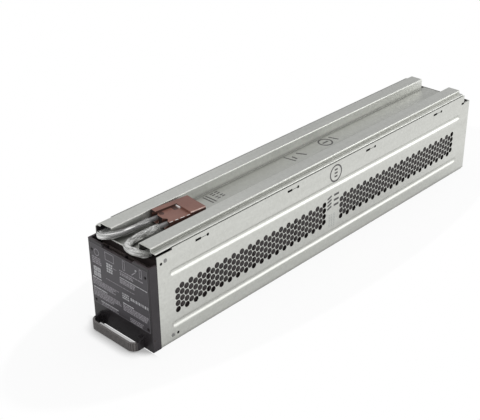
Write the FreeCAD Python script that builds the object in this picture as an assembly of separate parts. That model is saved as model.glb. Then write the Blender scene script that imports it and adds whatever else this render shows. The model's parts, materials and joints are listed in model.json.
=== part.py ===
"""Battery cartridge for a rack UPS: eight sealed blocks in a folded steel tray.

Frame: X across, Y along the cartridge with its front at -Y, Z up, millimetres.
Everything is laid out from the tray's front edge (y = 0) and moved at the end,
so that the origin is the centre of the cartridge's footprint.
"""
import FreeCAD, Part
import math
import os

V = FreeCAD.Vector
UP = V(0, 0, 1)

# ---------------------------------------------------------------- driving sizes
SHEET = 0.8              # galvanised sheet of the tray and the cover
FIT = 0.3                # side clearance between parts that are slid together
HAIR = 0.05              # radial clearance of pins in their holes

BLOCK_W, BLOCK_D, BLOCK_H = 90.0, 70.0, 101.0   # one 12 V block
BLOCKS = 8
LINER_T = 0.4            # insulating sheet under the blocks
RIB_BACK = 1.5           # the bezel's ribs end this far inside the tray
FRONT_PAD_T = 2.0        # foam between those ribs and the first block
REAR_PAD_T = 4.6         # foam between the last block and the rear wall

BEAD_DEPTH = 1.4         # long beads pressed into the tray's sides
BEAD_MOUTH = 9.4
BEAD_FLOOR = 1.6
BEAD_GAP = 0.3           # between a bead's crest and the blocks
BEAD_START = 15.5        # from the tray's front edge
BEAD_END_GAP = 20.0      # from the tray's rear face
BEAD_HEIGHTS = (20.4, 83.5)

VENT_D = 6.8             # one vent hole
VENT_SIDES = 6
VENT_COLUMNS = 38
VENT_ROWS = 4
VENT_PITCH_Y = 6.43
VENT_PITCH_Z = 7.75
VENT_FIELDS = (144.8, 415.1)   # middle of each field along the tray
VENT_MIDDLE = 50.2             # middle of the fields above the floor

HEADROOM = 10.5          # from the blocks' tops to the top of the tray's sides
LEDGE_RISE = 1.2         # the cover's ledges stand this much above the sides
LEDGE_W = 8.3            # flat ledge outside each rail
RAIL_RISE = 4.1          # rail top above the ledge
RAIL_W = 17.9
CHANNEL_LIFT = 1.4       # between the blocks' tops and the channel floor
COVER_BEND = 0.7         # bend radius at the middle of the sheet
TRAY_BEND = 0.9
FLANGE_DROP = 10.6       # the cover's flanges hang this far inside the sides
FLANGE_GAP = 1.2         # open groove between a flange and the side
COVER_END_GAP = 14.0     # the rails stop this far before the rear face
CHANNEL_TAIL = 7.0       # the channel floor runs on past the rails
FRONT_RELIEF_L, FRONT_RELIEF_H = 21.0, 1.8
REAR_DROP = 10.7         # the sides' rear corners are lower by this much
REAR_FLANGE = 13.0       # the rear wall's flanges inside the sides
REAR_NOTCH = 3.5         # relief where three folds meet

HOOK_SLOT_L, HOOK_SLOT_H = 8.0, 2.8
HOOK_FIRST, HOOK_PITCH, HOOKS = 57.7, 143.6, 4
HOOK_BELOW_TOP = 5.4
HOOK_LUG_L, HOOK_LUG_H = 6.8, 0.7
HOOK_WINDOW_H = 3.6      # opening left in the flange where a lug was bent out
HOOK_SUNK = 0.6          # a lug ends this far inside the tray's outer face
DIMPLE_D = 3.6
DIMPLE_STEP = 13.9       # from a hook slot's middle to its round hole
SLIT_H = 0.6             # relief slit between the two
TAB_SLOT_L, TAB_SLOT_H = 6.0, 3.0
TAB_SLOT_FROM_END = 16.5

BEZEL_D = 11.2           # the plastic front stands this far ahead of the steel
BEZEL_H = 102.0
BEZEL_T = 2.5
BEZEL_EDGE_R = 0.8
NOTCH_L, NOTCH_R, NOTCH_DEPTH = -24.0, 22.0, 3.2
PANEL_HOLE_D = 2.6
PANEL_HOLE_IN = 5.7      # from the bezel's side
PANEL_HOLE_LOW, PANEL_HOLE_BELOW_TOP = 27.0, 12.1
EAR_T, EAR_FIT = 1.1, 0.1      # the bezel's ears lie inside the tray's sides
EAR_ROOT_H = 10.0        # the upper ears grow from the bezel's top by this height
EAR_BELOW_TOP = 3.0      # and end this far below the sides' tops
EAR_TOP_REACH = 21.0
EAR_LOW_FROM, EAR_LOW_TO, EAR_LOW_REACH = 4.0, 13.0, 28.0
EAR_FRONT_GAP = 0.3      # above the bezel the ears start this far behind its back edge
RIB_T, RIB_XS = 2.0, (-30.0, 0.0, 30.0)
RIB_FROM, RIB_BELOW_TOP = 12.0, 8.0
PAD_IN, PAD_END = 5.0, 10.0        # the foam pads' margins on a block's end

RIVET_D, RIVET_HEAD_D, RIVET_HEAD_T = 3.0, 4.8, 0.8
RIVET_TOP = (11.4, 10.1)           # along the tray, below the sides' tops
RIVET_LOW = (17.0, 8.5)            # along the tray, above the floor
PILOT_D = 3.4
PILOT_TOP = (5.5, 11.7)
PILOT_LOW = (24.1, 8.2)

LABEL_T = 0.15
LABEL_MARGIN = 2.5       # from the bezel's sides
LABEL_FROM = 23.0
LABEL_GAP = 0.6          # below the notch
LABEL_HOLE_D = 4.6

HANDLE_MIDDLE = -1.1     # the handle sits a little to the left
HANDLE_X = 35.6          # half of the handle's width
HANDLE_REACH = 16.2      # from the bezel's face to the bar's front
HANDLE_T = 2.4
HANDLE_LOW, HANDLE_BAR_TOP, HANDLE_ROOT_TOP = 1.6, 11.8, 14.0
HANDLE_BAR_DEPTH = 9.0   # behind the bar's front its top starts to rise to the root
HANDLE_CORNER = 8.0
HANDLE_FOOT_W, HANDLE_FOOT_T = 7.5, 3.0      # the feet that the legs stand on
HANDLE_SCREW_Z = 8.0
SCREW_D, SCREW_HEAD_D, SCREW_HEAD_T = 2.6, 5.6, 1.8
SCREW_BLIND = 0.5        # plastic left in front of a screw's tip

TERMINAL_IN = 12.0       # from the block's side
TERMINAL_Y = 14.0        # from the block's nearer end
TAB_W, TAB_T, TAB_H = 6.3, 0.8, 7.0
STRAP_W, STRAP_T, STRAP_BEND = 7.0, 0.8, 9.0
STRAP_OVER = 5.0         # past the terminal's middle

PLUG_L, PLUG_W, PLUG_H = 48.0, 34.0, 15.5
PLUG_Y = 75.0            # middle of the connector, from the tray's front
PLUG_YAW = -6.5
POLE_X = 9.0             # from the connector's middle to each pole
POLE_BORE_D = 8.8
POLE_FLARE, POLE_FLARE_L = 2.2, 5.0
PLUG_STEP_H, PLUG_STEP_L, PLUG_STEP_X = 2.5, 28.0, -8.5
SOCKET_W, SOCKET_D = 11.0, 18.0
SOCKET_FLOOR, SOCKET_TOP = 2.6, 13.0
LATCH_PIT_D, LATCH_PIT_DEPTH = 3.6, 0.6
LATCH_PITS = ((-5.4, -18.3), (-5.2, -0.2))
BLADE_W, BLADE_T, BLADE_L, BLADE_BACK = 9.0, 2.2, 22.0, 2.5
BARREL_D, BARREL_L, BARREL_BACK = 8.0, 13.0, 2.0
PLUG_EDGE = 1.5

WIRE_D = 5.5
SLEEVE_D, SLEEVE_BORE = 8.0, 6.1
SLEEVE_SHORT = 8.0       # a sleeve ends this far in front of the connector
LUG_BARREL_D, LUG_BARREL_L = 6.9, 8.0
LUG_W, LUG_T = 7.8, 3.4
LUG_ROOF = 1.0           # over the tab's tip

# The free leads, each from the connector to its rail's mouth. A point is given as
# (how far in from the mouth towards the middle, y, height above the channel floor).
MOUTH_IN, MOUTH_Y = 7.0, 6.0       # the left mouth, from the rail's outer wall
LIE_POSITIVE = [(17.6, 33.0, 6.0), (16.0, 18.0, 4.9), (16.0, 4.5, 6.8), (14.4, -4.6, 8.0),
                (9.0, -10.4, 8.0), (2.0, -8.8, 6.4), (0.0, -1.5, 4.5), (0.0, MOUTH_Y, 4.5)]
LIE_NEGATIVE = [(28.6, 32.0, 6.2), (30.6, 18.0, 4.8), (29.4, 6.0, 4.7), (26.0, -2.4, 4.8),
                (19.4, -6.0, 4.8), (11.4, -5.2, 4.6), (4.0, -3.0, 4.2), (0.0, 0.8, 3.9),
                (0.0, MOUTH_Y, 3.9)]
MOUTH_SHIFT = 1.2        # the right mouth is this much nearer the middle
GATE = 1.5               # straight stretch in front of the connector
WIRE_START_Y = -9.0      # the wire's end inside the contact, from the connector's middle

# ---------------------------------------------------------------- derived sizes
FLOOR_Z = SHEET + LINER_T                        # what the blocks stand on
BLOCK_TOP = FLOOR_Z + BLOCK_H
BODY_W = BLOCK_W + 2 * (BEAD_GAP + BEAD_DEPTH + SHEET)
HALF_W = BODY_W / 2
INNER_X = HALF_W - SHEET
BLOCK_STEP = BLOCK_D + FIT
BLOCKS_Y0 = RIB_BACK + FRONT_PAD_T
BLOCKS_Y1 = BLOCKS_Y0 + BLOCKS * BLOCK_STEP - FIT
TRAY_L = BLOCKS_Y1 + REAR_PAD_T + SHEET
SIDE_TOP = BLOCK_TOP + HEADROOM
LEDGE_TOP = SIDE_TOP + LEDGE_RISE
RAIL_TOP = LEDGE_TOP + RAIL_RISE
RAIL_OUT = HALF_W - LEDGE_W
RAIL_IN = RAIL_OUT - RAIL_W
CHANNEL_TOP = BLOCK_TOP + CHANNEL_LIFT + SHEET
COVER_L = TRAY_L - COVER_END_GAP
FACE_Y = -BEZEL_D
PANEL_BACK = FACE_Y + BEZEL_T
FLANGE_X = INNER_X - FLANGE_GAP                  # outer face of the cover's flange
BAR_Y = FACE_Y - HANDLE_REACH
LEAD_Z = BLOCK_TOP + STRAP_T + WIRE_D / 2 + 0.2  # over the straps, inside the rail
LUG_Z = BLOCK_TOP + STRAP_T + 0.3 + LUG_BARREL_D / 2
MOUTH_X = RAIL_OUT - MOUTH_IN
TERMINAL_X = BLOCK_W / 2 - TERMINAL_IN
PANEL_HOLE_X = HALF_W - PANEL_HOLE_IN
PANEL_HOLE_HEIGHTS = (PANEL_HOLE_LOW, BEZEL_H - PANEL_HOLE_BELOW_TOP)
EAR_X = INNER_X - EAR_FIT                        # outer face of the bezel's ears
REAR_TOP = SIDE_TOP - REAR_DROP
Y_SHIFT = -(TRAY_L + BAR_Y) / 2

os.makedirs("parts", exist_ok=True)


# ---------------------------------------------------------------- helpers
def save(name, shape):
    """Write one node, moved so that the origin is the footprint's centre."""
    shape = shape.copy()
    shape.translate(V(0, Y_SHIFT, 0))
    if not shape.isValid():
        print("NOT VALID", name)
    shape.exportStep("parts/%s.step" % name)
    print("%-24s %9.0f mm3" % (name, shape.Volume))


def block(x0, x1, y0, y1, z0, z1):
    return Part.makeBox(x1 - x0, y1 - y0, z1 - z0, V(x0, y0, z0))


def rod(d, start, direction, length):
    return Part.makeCylinder(d / 2, length, start, direction)


def joined(shapes):
    first, rest = shapes[0], shapes[1:]
    return first.fuse(rest).removeSplitter() if rest else first


def both_sides(shape):
    """The shape and its mirror image in the middle plane of the cartridge."""
    return [shape, shape.mirror(V(0, 0, 0), V(1, 0, 0))]


def strip_outline(path, thickness, bend):
    """Outline of a folded strip: path is its middle line, bend the radius there."""
    points = [V(x, y, 0) for x, y in path]
    sides = []
    for offset in (thickness / 2, -thickness / 2):
        edges = []
        first = (points[1] - points[0]).normalize()
        here = points[0] + V(-first.y, first.x, 0) * offset
        for before, corner, after in zip(points, points[1:], points[2:]):
            u = (corner - before).normalize()
            w = (after - corner).normalize()
            turn = math.atan2(u.cross(w).z, u.dot(w))
            side = 1 if turn > 0 else -1
            cut = bend * math.tan(abs(turn) / 2)
            centre = corner - u * cut + V(-u.y, u.x, 0) * (side * bend)
            radius = bend - side * offset
            a = centre + V(u.y, -u.x, 0) * (side * radius)
            b = centre + V(w.y, -w.x, 0) * (side * radius)
            middle = centre + ((a - centre) + (b - centre)).normalize() * radius
            edges += [Part.LineSegment(here, a).toShape(), Part.Arc(a, middle, b).toShape()]
            here = b
        last = (points[-1] - points[-2]).normalize()
        end = points[-1] + V(-last.y, last.x, 0) * offset
        edges.append(Part.LineSegment(here, end).toShape())
        sides.append(edges)
    left, right = sides
    cap_a = Part.LineSegment(right[0].Vertexes[0].Point, left[0].Vertexes[0].Point).toShape()
    cap_b = Part.LineSegment(left[-1].Vertexes[-1].Point, right[-1].Vertexes[-1].Point).toShape()
    return Part.Face(Part.Wire([cap_a] + left + [cap_b] + right[::-1]))


def folded_sheet(section, thickness, bend, length):
    """A folded sheet: section is given as (x, z) and runs along Y from y = 0."""
    face = strip_outline(section, thickness, bend)
    face.rotate(V(0, 0, 0), V(1, 0, 0), 90)      # the section's y becomes z
    return face.extrude(V(0, length, 0))


def stadium(x, y0, y1, z, half):
    """Closed wire of a rounded slot in the plane at x."""
    a, b = y0 + half, y1 - half
    lower, upper = z - half, z + half
    return Part.Wire([
        Part.LineSegment(V(x, a, lower), V(x, b, lower)).toShape(),
        Part.Arc(V(x, b, lower), V(x, y1, z), V(x, b, upper)).toShape(),
        Part.LineSegment(V(x, b, upper), V(x, a, upper)).toShape(),
        Part.Arc(V(x, a, upper), V(x, y0, z), V(x, a, lower)).toShape(),
    ])


def rounded_route(name, points):
    """Straight runs joined by tangent arcs, each as large as its runs allow."""
    points = [V(*p) for p in points]
    edges, here, radii = [], points[0], []
    for before, corner, after in zip(points, points[1:], points[2:]):
        u = (corner - before).normalize()
        w = (after - corner).normalize()
        half = math.acos(max(-1.0, min(1.0, u.dot(w)))) / 2
        cut = 0.45 * min((corner - before).Length, (after - corner).Length)
        radii.append(cut / math.tan(half))
        a, b = corner - u * cut, corner + w * cut
        centre = corner + (w - u).normalize() * (radii[-1] / math.cos(half))
        middle = centre + (corner - centre).normalize() * radii[-1]
        edges += [Part.LineSegment(here, a).toShape(), Part.Arc(a, middle, b).toShape()]
        here = b
    edges.append(Part.LineSegment(here, points[-1]).toShape())
    wire = Part.Wire(edges)
    print("%-24s route %.1f mm, radii %s" % (name, wire.Length, [round(r, 1) for r in radii]))
    return wire


def tube(route, outer, inner=0.0):
    start, end = route.Edges[0].Vertexes[0].Point, route.Edges[0].Vertexes[-1].Point
    ring = Part.Wire(Part.makeCircle(outer / 2, start, end - start))
    solid = route.makePipeShell([ring], True, False)
    area = math.pi * (outer ** 2 - inner ** 2) / 4
    if inner:
        bore = Part.Wire(Part.makeCircle(inner / 2, start, end - start))
        solid = solid.cut(route.makePipeShell([bore], True, False))
    print("    volume ratio %.4f" % (solid.Volume / (area * route.Length)))
    return solid


def on_plug(shape):
    """From the connector's own frame to where it lies in the channel."""
    shape = shape.copy()
    shape.rotate(V(0, 0, 0), UP, PLUG_YAW)
    shape.translate(V(0, PLUG_Y, CHANNEL_TOP))
    return shape


def plug_point(x, y, z):
    return FreeCAD.Placement(V(0, PLUG_Y, CHANNEL_TOP),
                             FreeCAD.Rotation(UP, PLUG_YAW)).multVec(V(x, y, z))


# ---------------------------------------------------------------- steel tray
def front_holes(x, length):
    """Rods for the rivet and pilot holes of both sides, from x outward."""
    holes = []
    for (y, z), d in (((RIVET_TOP[0], SIDE_TOP - RIVET_TOP[1]), RIVET_D + 2 * HAIR),
                      (RIVET_LOW, RIVET_D + 2 * HAIR),
                      ((PILOT_TOP[0], SIDE_TOP - PILOT_TOP[1]), PILOT_D), (PILOT_LOW, PILOT_D)):
        holes += both_sides(rod(d, V(x, y, z), V(1, 0, 0), length))
    return holes


def vents():
    """The punches of both vent fields in the +X side."""
    punches = []
    radius = VENT_D / 2 * math.sqrt(2 * math.pi / (VENT_SIDES * math.sin(2 * math.pi / VENT_SIDES)))
    for middle in VENT_FIELDS:
        for column in range(VENT_COLUMNS):
            y = middle + (column - (VENT_COLUMNS - 1) / 2) * VENT_PITCH_Y
            lift = (column % 2 - 0.5) * VENT_PITCH_Z / 2
            for row in range(VENT_ROWS):
                z = VENT_MIDDLE + lift + (row - (VENT_ROWS - 1) / 2) * VENT_PITCH_Z
                ring = [V(INNER_X - 1, y + radius * math.cos(a), z + radius * math.sin(a))
                        for a in (2 * math.pi * k / VENT_SIDES for k in range(VENT_SIDES))]
                face = Part.Face(Part.makePolygon(ring + ring[:1]))
                punches.append(face.extrude(V(SHEET + 2, 0, 0)))
    return Part.makeCompound(punches)


def make_tray():
    middle = SHEET / 2
    section = [(-HALF_W + middle, SIDE_TOP), (-HALF_W + middle, middle),
               (HALF_W - middle, middle), (HALF_W - middle, SIDE_TOP)]
    tray = folded_sheet(section, SHEET, TRAY_BEND, TRAY_L)
    # The rear wall is folded up from the floor, with a flange inside each side.
    x, y = INNER_X - middle, TRAY_L - middle
    rear_plan = strip_outline([(-x, TRAY_L - REAR_FLANGE), (-x, y), (x, y), (x, TRAY_L - REAR_FLANGE)],
                              SHEET, TRAY_BEND)
    rear_plan.translate(V(0, 0, REAR_NOTCH))
    rear = rear_plan.extrude(V(0, 0, REAR_TOP - REAR_NOTCH))
    fold = strip_outline([(TRAY_L - 2 * REAR_NOTCH, middle), (TRAY_L - middle, middle),
                          (TRAY_L - middle, 2 * REAR_NOTCH)], SHEET, TRAY_BEND)
    fold.rotate(V(0, 0, 0), V(1, 1, 1), 120)     # (y, z) of the section into the side plane
    fold.translate(V(-INNER_X + REAR_NOTCH, 0, 0))
    fold = fold.extrude(V(2 * (INNER_X - REAR_NOTCH), 0, 0))
    gap = block(-INNER_X, INNER_X, TRAY_L - REAR_NOTCH, TRAY_L + 1, -1, REAR_NOTCH)
    tray = joined([tray.cut(gap), rear, fold])
    crests, hollows, holes = [], [], []
    bead_end = TRAY_L - BEAD_END_GAP
    for z in BEAD_HEIGHTS:
        hollow = Part.makeLoft([stadium(HALF_W, BEAD_START, bead_end, z, BEAD_MOUTH / 2),
                                stadium(HALF_W - BEAD_DEPTH, BEAD_START + BEAD_DEPTH,
                                        bead_end - BEAD_DEPTH, z, BEAD_FLOOR / 2)], True, True)
        crest = Part.makeLoft([stadium(INNER_X, BEAD_START, bead_end, z, BEAD_MOUTH / 2 + 0.2),
                               stadium(INNER_X - BEAD_DEPTH, BEAD_START + BEAD_DEPTH,
                                       bead_end - BEAD_DEPTH, z, BEAD_FLOOR / 2 + 0.6)], True, True)
        crests += both_sides(crest)
        hollows += both_sides(hollow)
    wall_x = INNER_X - 0.5
    for k in range(HOOKS):
        y, z = HOOK_FIRST + k * HOOK_PITCH, SIDE_TOP - HOOK_BELOW_TOP
        slot = block(wall_x, HALF_W + 1, y - HOOK_SLOT_L / 2, y + HOOK_SLOT_L / 2,
                     z - HOOK_SLOT_H / 2, z + HOOK_SLOT_H / 2)
        slit = block(wall_x, HALF_W + 1, y, y + DIMPLE_STEP, z - SLIT_H / 2, z + SLIT_H / 2)
        dimple = rod(DIMPLE_D, V(wall_x, y + DIMPLE_STEP, z), V(1, 0, 0), SHEET + 1)
        holes += both_sides(slot) + both_sides(slit) + both_sides(dimple)
    holes += front_holes(wall_x, SHEET + 1)
    tab_y = TRAY_L - TAB_SLOT_FROM_END
    holes += both_sides(block(wall_x, HALF_W + 1, tab_y - TAB_SLOT_L / 2, tab_y + TAB_SLOT_L / 2,
                              REAR_TOP - TAB_SLOT_H / 2, REAR_TOP + TAB_SLOT_H / 2))
    cuts = [block(-BODY_W, BODY_W, COVER_L, TRAY_L + 1, REAR_TOP, SIDE_TOP + 1),
            block(-BODY_W, BODY_W, -1, FRONT_RELIEF_L, SIDE_TOP - FRONT_RELIEF_H, SIDE_TOP + 1)]
    tray = joined([tray] + crests).cut(hollows + holes + cuts)
    return tray.cut(vents())


# ---------------------------------------------------------------- steel cover
def make_cover():
    middle = SHEET / 2
    flange, ledge, rail = FLANGE_X - middle, LEDGE_TOP - middle, RAIL_TOP - middle
    half = [(0, CHANNEL_TOP - middle), (RAIL_IN + middle, CHANNEL_TOP - middle),
            (RAIL_IN + middle, rail), (RAIL_OUT - middle, rail), (RAIL_OUT - middle, ledge),
            (flange, ledge), (flange, LEDGE_TOP - FLANGE_DROP)]
    section = [(-x, z) for x, z in half[:0:-1]] + half[1:]
    cover = folded_sheet(section, SHEET, COVER_BEND, COVER_L)
    bend = COVER_BEND + middle
    relief = block(FLANGE_X - SHEET - 0.2, HALF_W + 1, -1, FRONT_RELIEF_L,
                   LEDGE_TOP - FLANGE_DROP - 1, LEDGE_TOP - bend)
    tail = block(-RAIL_IN, RAIL_IN, COVER_L, COVER_L + CHANNEL_TAIL, CHANNEL_TOP - SHEET, CHANNEL_TOP)
    lugs, windows = [], both_sides(relief)
    for k in range(HOOKS):
        y, z = HOOK_FIRST + k * HOOK_PITCH, SIDE_TOP - HOOK_BELOW_TOP
        top = z + HOOK_SLOT_H / 2 - FIT / 2
        y0, y1 = y - HOOK_LUG_L / 2, y + HOOK_LUG_L / 2
        lugs += both_sides(block(FLANGE_X - SHEET, HALF_W - HOOK_SUNK, y0, y1, top - HOOK_LUG_H, top))
        windows += both_sides(block(FLANGE_X - SHEET - 1, FLANGE_X + 1, y0, y1,
                                    top - HOOK_LUG_H - HOOK_WINDOW_H, top - HOOK_LUG_H))
        windows += both_sides(rod(DIMPLE_D, V(FLANGE_X - SHEET - 1, y + DIMPLE_STEP, z),
                                  V(1, 0, 0), SHEET + 2))
    return joined([cover, tail] + lugs).cut(windows)


# ---------------------------------------------------------------- plastic front
def make_bezel():
    outer = block(-HALF_W, HALF_W, FACE_Y, 0, 0, BEZEL_H)
    corners = [e for e in outer.Edges if abs(e.CenterOfMass.y - FACE_Y) < 1e-6
               and abs(abs(e.CenterOfMass.x) - HALF_W) < 1e-6]
    outer = outer.makeFillet(BEZEL_EDGE_R, corners)
    well = block(-HALF_W + BEZEL_T, HALF_W - BEZEL_T, PANEL_BACK, 1, BEZEL_T, BEZEL_H + 1)
    parts = [outer.cut(well)]
    top_ear = (BEZEL_H - EAR_ROOT_H, SIDE_TOP - EAR_BELOW_TOP, EAR_TOP_REACH)
    for low, high, reach in (top_ear, (EAR_LOW_FROM, EAR_LOW_TO, EAR_LOW_REACH)):
        ear = block(EAR_X - EAR_T, EAR_X, EAR_FRONT_GAP, reach, low, high)
        root = block(EAR_X - EAR_T, EAR_X, PANEL_BACK - 0.5, EAR_FRONT_GAP, low, min(high, BEZEL_H))
        parts += both_sides(joined([ear, root]))
    for x in RIB_XS:
        parts.append(block(x - RIB_T / 2, x + RIB_T / 2, PANEL_BACK - 0.5, RIB_BACK,
                           RIB_FROM, BEZEL_H - RIB_BELOW_TOP))
    bezel = joined(parts)
    notch_floor = BEZEL_H - NOTCH_DEPTH
    slope = NOTCH_DEPTH * 0.6
    notch = Part.Face(Part.makePolygon([V(NOTCH_L - slope, FACE_Y - 1, BEZEL_H + 0.01),
                                        V(NOTCH_L, FACE_Y - 1, notch_floor),
                                        V(NOTCH_R, FACE_Y - 1, notch_floor),
                                        V(NOTCH_R + slope, FACE_Y - 1, BEZEL_H + 0.01),
                                        V(NOTCH_L - slope, FACE_Y - 1, BEZEL_H + 0.01)]))
    cuts = [notch.extrude(V(0, BEZEL_T + 1, 0))]
    for z in PANEL_HOLE_HEIGHTS:
        cuts += both_sides(rod(PANEL_HOLE_D, V(PANEL_HOLE_X, FACE_Y - 1, z), V(0, 1, 0), BEZEL_T + 1))
    cuts += [rod(SCREW_D + 4 * HAIR, V(x, FACE_Y - 1, HANDLE_SCREW_Z), V(0, 1, 0), BEZEL_T + 2)
             for x in handle_screw_xs()]
    return bezel.cut(cuts + front_holes(EAR_X - EAR_T - 0.5, EAR_T + 1))


def make_label():
    top = BEZEL_H - NOTCH_DEPTH - LABEL_GAP
    x = HALF_W - LABEL_MARGIN
    label = block(-x, x, FACE_Y - LABEL_T, FACE_Y, LABEL_FROM, top)
    holes = []
    for z in PANEL_HOLE_HEIGHTS:
        holes += both_sides(rod(LABEL_HOLE_D, V(PANEL_HOLE_X, FACE_Y - 1, z), V(0, 1, 0), 2))
    return label.cut(holes)


def handle_screw_xs():
    reach = HANDLE_X - HANDLE_FOOT_W / 2
    return HANDLE_MIDDLE - reach, HANDLE_MIDDLE + reach


def make_handle():
    left, right = HANDLE_MIDDLE - HANDLE_X, HANDLE_MIDDLE + HANDLE_X
    middle, back = HANDLE_T / 2, FACE_Y
    plan = strip_outline([(left + middle, back), (left + middle, BAR_Y + middle),
                          (right - middle, BAR_Y + middle), (right - middle, back)],
                         HANDLE_T, HANDLE_CORNER)
    plan.translate(V(0, 0, HANDLE_LOW))
    strap = plan.extrude(V(0, 0, HANDLE_ROOT_TOP - HANDLE_LOW))
    over = HANDLE_ROOT_TOP + 1
    side = [V(left - 1, back, HANDLE_ROOT_TOP), V(left - 1, BAR_Y + HANDLE_BAR_DEPTH, HANDLE_BAR_TOP),
            V(left - 1, BAR_Y - 1, HANDLE_BAR_TOP), V(left - 1, BAR_Y - 1, over), V(left - 1, back, over)]
    strap = strap.cut(Part.Face(Part.makePolygon(side + side[:1])).extrude(V(right - left + 2, 0, 0)))
    feet = [block(x, x + HANDLE_FOOT_W, back - HANDLE_FOOT_T, back, HANDLE_LOW, HANDLE_ROOT_TOP - 1)
            for x in (left, right - HANDLE_FOOT_W)]
    tip = back - HANDLE_FOOT_T + SCREW_BLIND
    pilots = [rod(SCREW_D + 2 * HAIR, V(x, tip - HAIR, HANDLE_SCREW_Z), V(0, 1, 0), HANDLE_FOOT_T)
              for x in handle_screw_xs()]
    return joined([strap] + feet).cut(pilots)


def make_handle_screws():
    tip = FACE_Y - HANDLE_FOOT_T + SCREW_BLIND
    screws = []
    for x in handle_screw_xs():
        shank = rod(SCREW_D, V(x, tip, HANDLE_SCREW_Z), V(0, 1, 0), PANEL_BACK - tip)
        head = rod(SCREW_HEAD_D, V(x, PANEL_BACK, HANDLE_SCREW_Z), V(0, 1, 0), SCREW_HEAD_T)
        screws.append(joined([shank, head]))
    return Part.makeCompound(screws)


def make_side_rivets():
    rivets = []
    grip = EAR_X - EAR_T
    for y, z in ((RIVET_TOP[0], SIDE_TOP - RIVET_TOP[1]), RIVET_LOW):
        head = Part.makeCone(RIVET_HEAD_D / 2, RIVET_HEAD_D / 2 - RIVET_HEAD_T, RIVET_HEAD_T,
                             V(HALF_W, y, z), V(1, 0, 0))
        rivets += both_sides(joined([rod(RIVET_D, V(grip, y, z), V(1, 0, 0), HALF_W - grip), head]))
    return Part.makeCompound(rivets)


# ---------------------------------------------------------------- battery blocks
def block_y(index):
    return BLOCKS_Y0 + index * BLOCK_STEP


def turned(index):
    """Blocks alternate end for end; the two in the middle stand the same way."""
    return (index % 2 == 1) if index < BLOCKS // 2 else (index % 2 == 0)


def terminal_y(index):
    return block_y(index) + (TERMINAL_Y if turned(index) else BLOCK_D - TERMINAL_Y)


def make_battery(index):
    y = block_y(index)
    lid_h, lip, corner = 13.0, 0.4, 2.0
    case = block(-BLOCK_W / 2 + lip, BLOCK_W / 2 - lip, y + lip, y + BLOCK_D - lip,
                 FLOOR_Z, BLOCK_TOP - lid_h)
    lid = block(-BLOCK_W / 2, BLOCK_W / 2, y, y + BLOCK_D, BLOCK_TOP - lid_h, BLOCK_TOP)
    uprights = lambda s: [e for e in s.Edges if e.Vertexes[0].Z != e.Vertexes[-1].Z]
    return joined([case.makeFillet(corner, uprights(case)), lid.makeFillet(corner, uprights(lid))])


def make_terminals(index):
    y = terminal_y(index)
    tab = block(TERMINAL_X - TAB_T / 2, TERMINAL_X + TAB_T / 2, y - TAB_W / 2, y + TAB_W / 2,
                BLOCK_TOP, BLOCK_TOP + TAB_H)
    return Part.makeCompound(both_sides(tab))


def make_strap(a, b, route):
    """A flat strap on the blocks' tops, slotted over the tabs at its two ends."""
    strip = strip_outline(route, STRAP_W, STRAP_BEND)
    strip.translate(V(0, 0, BLOCK_TOP))
    slots = [block(x - TAB_T / 2 - HAIR, x + TAB_T / 2 + HAIR, y - TAB_W / 2 - HAIR,
                   y + TAB_W / 2 + HAIR, BLOCK_TOP - 1, BLOCK_TOP + STRAP_T + 1) for x, y in (a, b)]
    return strip.extrude(V(0, 0, STRAP_T)).cut(slots)


def side_strap(index, side):
    x = side * TERMINAL_X
    a, b = terminal_y(index), terminal_y(index + 1)
    return make_strap((x, a), (x, b), [(x, a - STRAP_OVER), (x, b + STRAP_OVER)])


def middle_strap():
    index = BLOCKS // 2 - 1
    a, b = terminal_y(index), terminal_y(index + 1)
    return make_strap((-TERMINAL_X, a), (TERMINAL_X, b),
                      [(-TERMINAL_X, a - STRAP_OVER), (-TERMINAL_X, a + 2 * STRAP_OVER),
                       (TERMINAL_X, b - 2 * STRAP_OVER), (TERMINAL_X, b + STRAP_OVER)])


# ---------------------------------------------------------------- connector
def make_plug_housing():
    half_l, half_w = PLUG_L / 2, PLUG_W / 2
    body = block(-half_w, half_w, -half_l, half_l, 0, PLUG_H)
    long_edges = [e for e in body.Edges if abs(e.Vertexes[0].Y - e.Vertexes[-1].Y) > PLUG_L / 2]
    body = body.makeFillet(PLUG_EDGE, long_edges)
    step = block(PLUG_STEP_X, half_w + 1, -half_l - 1, -half_l + PLUG_STEP_L,
                 PLUG_H - PLUG_STEP_H, PLUG_H + 1)
    cuts = [step]
    middle = PLUG_H / 2
    for x in (-POLE_X, POLE_X):
        cuts.append(rod(POLE_BORE_D, V(x, -half_l - 1, middle), V(0, 1, 0), half_l))
        cuts.append(Part.makeCone(POLE_BORE_D / 2 + POLE_FLARE, POLE_BORE_D / 2, POLE_FLARE_L,
                                  V(x, -half_l - 0.01, middle), V(0, 1, 0)))
        cuts.append(block(x - BLADE_W / 2 - FIT, x + BLADE_W / 2 + FIT, -BLADE_BACK - 1.5,
                          half_l - SOCKET_D + 1, SOCKET_FLOOR, SOCKET_FLOOR + BLADE_T + 2 * FIT))
        cuts.append(block(x - SOCKET_W / 2, x + SOCKET_W / 2, half_l - SOCKET_D, half_l + 1,
                          SOCKET_FLOOR, SOCKET_TOP))
    for x, y in LATCH_PITS:
        cuts.append(rod(LATCH_PIT_D, V(x, y, PLUG_H - PLUG_STEP_H - LATCH_PIT_DEPTH), UP, PLUG_STEP_H))
    return on_plug(body.cut(cuts))


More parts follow.
